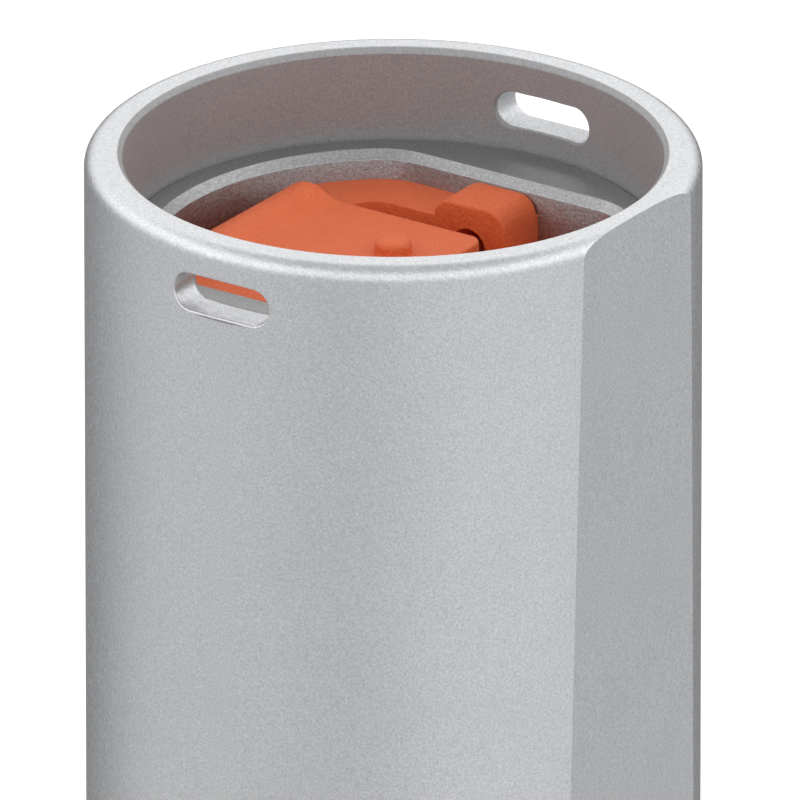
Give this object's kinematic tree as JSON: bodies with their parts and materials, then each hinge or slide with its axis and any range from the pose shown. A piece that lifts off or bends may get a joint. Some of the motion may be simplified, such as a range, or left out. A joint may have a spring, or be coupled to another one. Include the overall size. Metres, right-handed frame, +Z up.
{
  "type": "retractable bollard",
  "caption": "Round silver bollard that slides down into a ground casing on gas springs, with a lock flap under the rim, lifting slots and a flat down one side.",
  "frame": {"origin": "centre of the base plate's underside", "axes": "+Z up along the post; +X is the way the post's flat faces; the lifting slots and lock bolts lie along Y"},
  "size_m": [0.26, 0.26, 1.45],
  "materials": {
    "galvanised_steel": "hot-dip galvanised, spangled",
    "cast_frame": "cast, dark coated",
    "collar_steel": "turned stainless",
    "fastener_steel": "zinc plated",
    "black_rubber": "moulded matt",
    "guide_plastic": "natural cast nylon",
    "spring_black": "satin black",
    "rod_chrome": "polished",
    "blasted_aluminium": "blasted, fine grain",
    "orange_coating": "matt orange powder coat, fine texture",
    "machined_steel": "machined, lightly oiled"
  },
  "bodies": {
    "casing": {"base_plate": "galvanised_steel", "drain_grate": "galvanised_steel", "casing_tube": "galvanised_steel", "casing_gussets": "galvanised_steel", "anchor_bars": "galvanised_steel", "ground_frame": "cast_frame", "collar_insert": "collar_steel", "collar_screws": "fastener_steel", "wiper_seal": "black_rubber", "guide_bush": "guide_plastic", "stop_buffer": "black_rubber", "bottom_buffer": "black_rubber", "keeper_upper": "galvanised_steel", "keeper_lower": "galvanised_steel", "gas_cylinder_left": "spring_black", "gas_cylinder_right": "spring_black", "gas_glands": "spring_black", "spring_clevises": "galvanised_steel", "clevis_pins": "fastener_steel"},
    "post": {"post_tube": "blasted_aluminium", "head_plate": "blasted_aluminium", "tray_floor": "orange_coating", "lock_tray": "orange_coating", "tray_screws": "fastener_steel", "hinge_pin": "fastener_steel", "guide_shoe_upper": "guide_plastic", "guide_shoe_lower": "guide_plastic", "shoe_screws": "fastener_steel", "gas_crosshead": "machined_steel", "gas_rod_left": "rod_chrome", "gas_rod_right": "rod_chrome", "gas_pistons": "machined_steel", "rod_nuts": "fastener_steel", "shaft_guide": "machined_steel", "shaft_bushes": "guide_plastic", "latch_body": "machined_steel", "latch_cover": "machined_steel", "latch_cap_screws": "fastener_steel", "latch_side_screws": "fastener_steel"},
    "flap": {"lock_flap": "orange_coating", "flap_stud": "orange_coating"},
    "lock_drive": {"lock_shaft": "machined_steel", "key_head": "machined_steel", "cam_disc": "machined_steel", "shaft_collar": "machined_steel"},
    "bolt_front": {"latch_bolt_front": "machined_steel", "follower_pin_front": "machined_steel"},
    "bolt_rear": {"latch_bolt_rear": "machined_steel", "follower_pin_rear": "machined_steel"}
  },
  "joints": [
    {"name": "lift", "type": "slide", "parent": "casing", "child": "post", "axis": [0, 0, 1], "range_m": [-0.6, 0], "stiffness_N_per_m": 60, "springref_m": 2.9},
    {"name": "flap_hinge", "type": "hinge", "parent": "post", "child": "flap", "pos_m": [-0.0289, 0, 1.4232], "axis": [0, -1, 0], "range_deg": [0, 100]},
    {"name": "lock_turn", "type": "hinge", "parent": "post", "child": "lock_drive", "pos_m": [0, 0, 1], "axis": [0, 0, 1], "range_deg": [0, 90]},
    {"name": "bolt_front_slide", "type": "slide", "parent": "post", "child": "bolt_front", "axis": [0, -1, 0], "range_m": [0, 0.0121]},
    {"name": "bolt_rear_slide", "type": "slide", "parent": "post", "child": "bolt_rear", "axis": [0, 1, 0], "range_m": [0, 0.0121]}
  ],
  "couplings": [
    {"joint": "bolt_front_slide", "follows": "lock_turn", "m_per_rad": 0.0076394},
    {"joint": "bolt_rear_slide", "follows": "lock_turn", "m_per_rad": 0.0076394}
  ]
}
